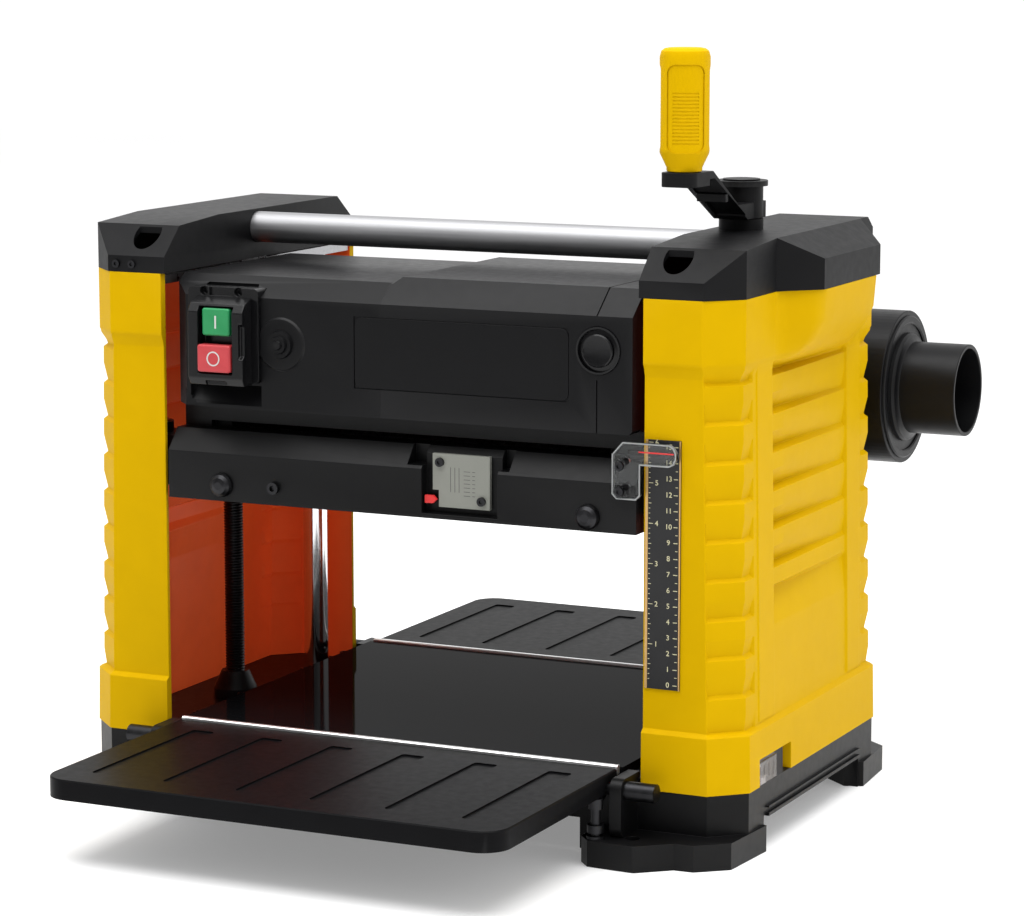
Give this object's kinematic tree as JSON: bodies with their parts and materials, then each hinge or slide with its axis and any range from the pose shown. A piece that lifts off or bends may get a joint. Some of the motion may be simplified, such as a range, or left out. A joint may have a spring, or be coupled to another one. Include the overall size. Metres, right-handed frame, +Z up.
{
  "type": "thickness planer",
  "caption": "Benchtop thickness planer: carriage with motor and cutterhead lifted by a crank on twin screws between yellow towers, folding tables, dust port.",
  "frame": {"origin": "on the bench surface at the centre of the four bench-bolt holes", "axes": "+X to the operator's right (crank side), +Y with the feed from front to back, +Z up"},
  "size_m": [0.531, 0.635, 0.5044],
  "materials": {
    "cast_black": "satin black paint on cast aluminium",
    "bed_gloss": "gloss black",
    "bright_steel": "polished",
    "black_steel": "black oxide",
    "yellow_shell": "satin moulded",
    "charcoal_plastic": "fine texture",
    "plain_steel": "machined",
    "satin_tube": "satin",
    "chrome_steel": "ground and plated",
    "black_plastic": "satin moulded",
    "scale_black": "printed label",
    "table_black": "satin black paint",
    "yellow_grip": "satin moulded",
    "bronze": "sintered",
    "panel_black": "satin",
    "green_button": "satin",
    "red_button": "satin",
    "grey_plate": "satin",
    "red_pointer": "satin",
    "clear_plastic": "clear",
    "cast_bare": "as cast",
    "black_rubber": "matte",
    "smoke_plastic": "smoky"
  },
  "bodies": {
    "frame": {"base_casting": "cast_black", "bed_plate": "bed_gloss", "bed_edge_strips": "bright_steel", "frame_screws": "black_steel", "left_tower_shell": "yellow_shell", "right_tower_shell": "yellow_shell", "left_top_cap": "charcoal_plastic", "right_top_cap": "charcoal_plastic", "top_brackets": "plain_steel", "cross_tube": "satin_tube", "guide_columns": "chrome_steel", "screw_bearings": "black_plastic", "drive_chain": "plain_steel", "scale_strip": "scale_black", "table_pivot_pins": "black_steel", "table_stop_screws": "black_steel"},
    "crank": {"right_lead_screw": "black_steel", "right_sprocket": "plain_steel", "crank_arm": "charcoal_plastic", "crank_hub_disc": "charcoal_plastic", "grip_pin": "plain_steel"},
    "grip": {"crank_grip": "yellow_grip"},
    "left_screw": {"left_lead_screw": "black_steel", "left_sprocket": "plain_steel"},
    "carriage": {"carriage_casting": "cast_black", "column_bushes": "bronze", "lift_nuts": "bronze", "motor_cover_left": "black_plastic", "motor_cover_right": "black_plastic", "name_panel": "panel_black", "brush_caps": "black_plastic", "switch_plate": "black_plastic", "switch_box": "black_plastic", "gauge_plate": "grey_plate", "pointer_bracket": "clear_plastic", "carriage_screws": "black_steel", "motor_stator": "plain_steel", "motor_frames": "cast_bare", "shaft_bearings": "chrome_steel", "drive_belt": "black_rubber", "roller_bushes": "bronze", "feed_chain": "plain_steel", "pawl_rod": "plain_steel", "dust_hood": "black_plastic", "dust_outlet": "black_plastic", "cord_gland": "black_rubber"},
    "cutter": {"cutterhead": "plain_steel", "cutter_knives": "bright_steel", "cutter_pulley": "cast_bare"},
    "armature": {"motor_armature": "plain_steel", "motor_pulley": "cast_bare"},
    "front_roller": {"infeed_roller": "black_rubber"},
    "rear_roller": {"outfeed_roller": "black_rubber"},
    "pawls": {"kickback_pawls": "plain_steel"},
    "start_key": {"start_button": "green_button"},
    "stop_key": {"stop_button": "red_button"},
    "gauge_arrow": {"gauge_pointer": "red_pointer"},
    "stop_slider": {"depth_stop": "smoke_plastic"},
    "front_table": {"infeed_table": "table_black"},
    "rear_table": {"outfeed_table": "table_black"}
  },
  "joints": [
    {"name": "lift_crank", "type": "hinge", "parent": "frame", "child": "crank", "pos_m": [0.1885, -0.015, 0.39], "axis": [0, 0, 1], "range_deg": [-25840, 910]},
    {"name": "grip_spin", "type": "hinge", "parent": "crank", "child": "grip", "pos_m": [0.18405, -0.09988, 0.46], "axis": [0, 0, 1], "continuous": true},
    {"name": "left_screw_turn", "type": "hinge", "parent": "frame", "child": "left_screw", "pos_m": [-0.1885, -0.015, 0.2], "axis": [0, 0, 1], "range_deg": [-25840, 910]},
    {"name": "carriage_lift", "type": "slide", "parent": "frame", "child": "carriage", "axis": [0, 0, 1], "range_m": [-0.1435, 0.005]},
    {"name": "cutterhead_spin", "type": "hinge", "parent": "carriage", "child": "cutter", "pos_m": [0, 0, 0.2265], "axis": [1, 0, 0], "continuous": true},
    {"name": "armature_spin", "type": "hinge", "parent": "carriage", "child": "armature", "pos_m": [0, -0.085, 0.314], "axis": [1, 0, 0], "continuous": true},
    {"name": "infeed_roller_spin", "type": "hinge", "parent": "carriage", "child": "front_roller", "pos_m": [0, -0.058, 0.2189], "axis": [1, 0, 0], "continuous": true},
    {"name": "outfeed_roller_spin", "type": "hinge", "parent": "carriage", "child": "rear_roller", "pos_m": [0, 0.058, 0.2189], "axis": [1, 0, 0], "continuous": true},
    {"name": "pawl_swing", "type": "hinge", "parent": "carriage", "child": "pawls", "pos_m": [0, -0.092, 0.24], "axis": [1, 0, 0], "range_deg": [0, 20]},
    {"name": "start_press", "type": "slide", "parent": "carriage", "child": "start_key", "axis": [0, 1, 0], "range_m": [0, 0.003], "stiffness_N_per_m": 400, "springref_m": -0.002},
    {"name": "stop_press", "type": "slide", "parent": "carriage", "child": "stop_key", "axis": [0, 1, 0], "range_m": [0, 0.003], "stiffness_N_per_m": 400, "springref_m": -0.002},
    {"name": "gauge_lift", "type": "slide", "parent": "carriage", "child": "gauge_arrow", "axis": [0, 0, 1], "range_m": [0, 0.004]},
    {"name": "depth_stop_slide", "type": "slide", "parent": "frame", "child": "stop_slider", "axis": [0, 1, 0], "range_m": [0, 0.012]},
    {"name": "infeed_table_fold", "type": "hinge", "parent": "frame", "child": "front_table", "pos_m": [0, -0.152, 0.046], "axis": [-1, 0, 0], "range_deg": [0, 90]},
    {"name": "outfeed_table_fold", "type": "hinge", "parent": "frame", "child": "rear_table", "pos_m": [0, 0.152, 0.046], "axis": [1, 0, 0], "range_deg": [0, 90]}
  ],
  "couplings": [
    {"joint": "left_screw_turn", "follows": "carriage_lift", "rad_per_m": 3141.6},
    {"joint": "lift_crank", "follows": "carriage_lift", "rad_per_m": 3141.6},
    {"joint": "armature_spin", "follows": "cutterhead_spin", "ratio": 1.6667},
    {"joint": "infeed_roller_spin", "follows": "cutterhead_spin", "ratio": -0.00833},
    {"joint": "outfeed_roller_spin", "follows": "cutterhead_spin", "ratio": -0.00833}
  ]
}
